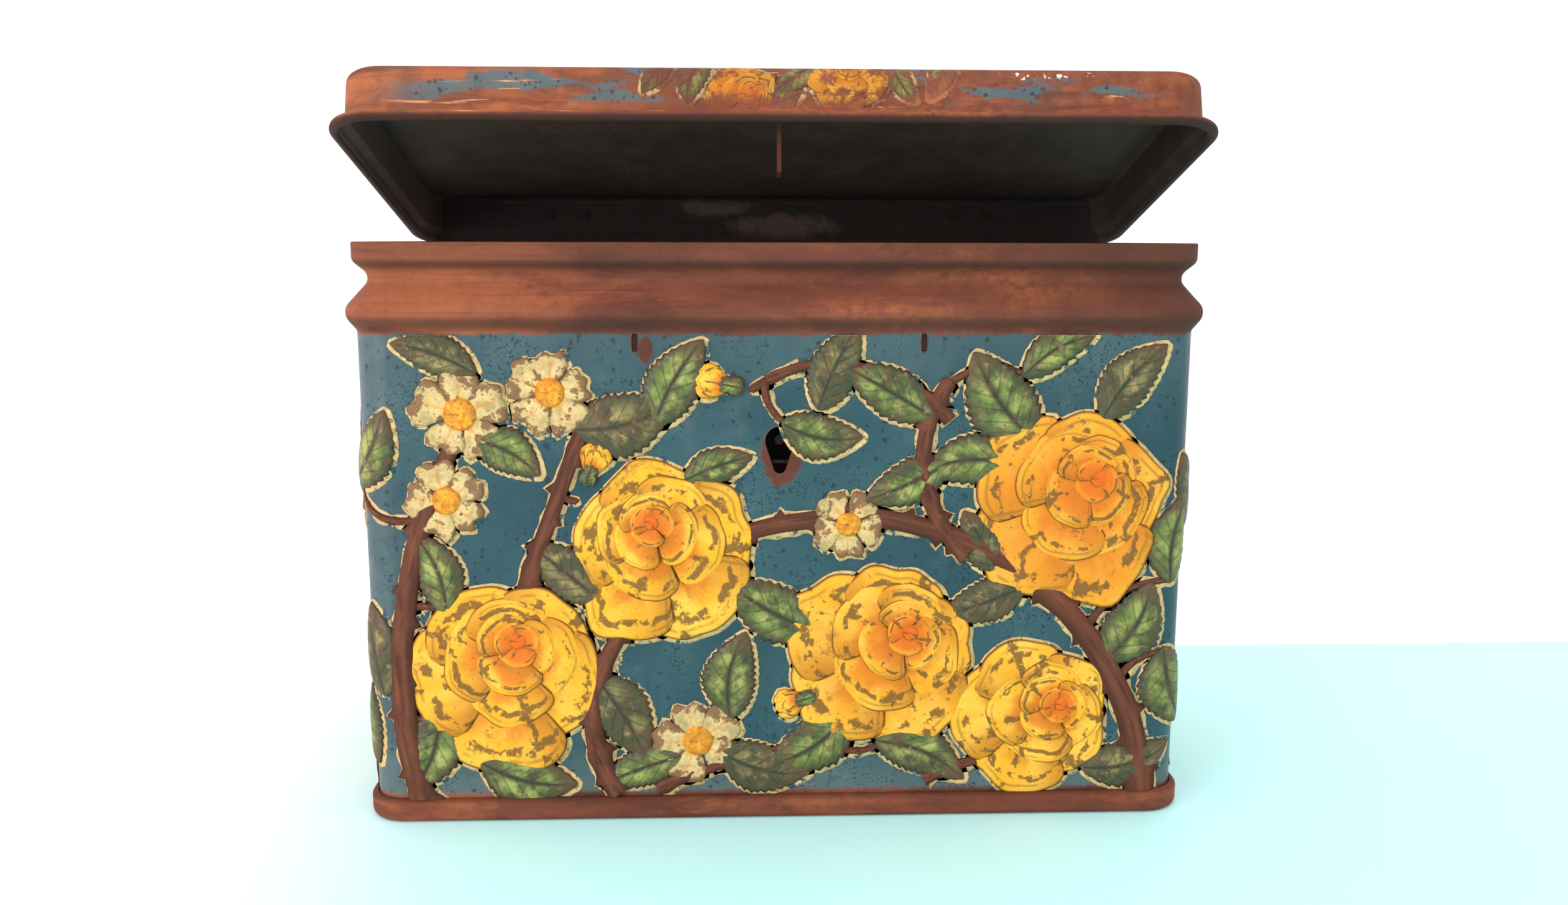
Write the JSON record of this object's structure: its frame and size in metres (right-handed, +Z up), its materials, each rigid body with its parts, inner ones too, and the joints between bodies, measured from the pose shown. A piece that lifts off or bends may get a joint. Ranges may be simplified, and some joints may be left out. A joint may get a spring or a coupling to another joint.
{
  "type": "recipe card box",
  "caption": "Hinged tinplate box for recipe cards, with rounded corners, a moulded mouth, a wired lid that stands ajar, raised flower work and a keyed lock.",
  "frame": {"origin": "middle of the base, on the flat underside of the bottom seam", "axes": "+X to the right along the front, +Y towards the hinges, +Z up"},
  "size_m": [0.1792, 0.0881, 0.1541],
  "materials": {
    "printed_tin": "worn satin print on tinplate",
    "rusty_tin": "matt rust-brown",
    "lid_tin": "matt rust-brown with remnants of print",
    "hinge_iron": "rusted",
    "iron_wire": "rusted",
    "lock_iron": "dull, lightly rusted"
  },
  "bodies": {
    "box": {"body_shell": "printed_tin", "bottom_plate": "rusty_tin", "hinge_body_leaf_left": "hinge_iron", "hinge_body_leaf_right": "hinge_iron", "hinge_pin_left": "iron_wire", "hinge_pin_right": "iron_wire", "hinge_strap_rivets": "iron_wire", "lock_plate": "lock_iron", "lock_case": "lock_iron", "lock_rivets": "iron_wire", "lock_guide_pin": "iron_wire", "lock_key_post": "iron_wire", "lock_bolt_spring": "lock_iron"},
    "lid": {"lid_shell": "lid_tin", "lid_rim_wire": "iron_wire", "hinge_lid_leaf_left": "hinge_iron", "hinge_lid_leaf_right": "hinge_iron", "lid_leaf_rivets": "iron_wire", "lock_staple": "lock_iron"},
    "bolt": {"lock_bolt": "lock_iron"}
  },
  "joints": [
    {"name": "lid_hinge", "type": "hinge", "parent": "box", "child": "lid", "pos_m": [0, 0.0454, 0.1188], "axis": [-1, 0, 0], "range_deg": [-16.8, 88.2]},
    {"name": "bolt_slide", "type": "slide", "parent": "box", "child": "bolt", "axis": [1, 0, 0], "range_m": [0, 0.005]}
  ]
}
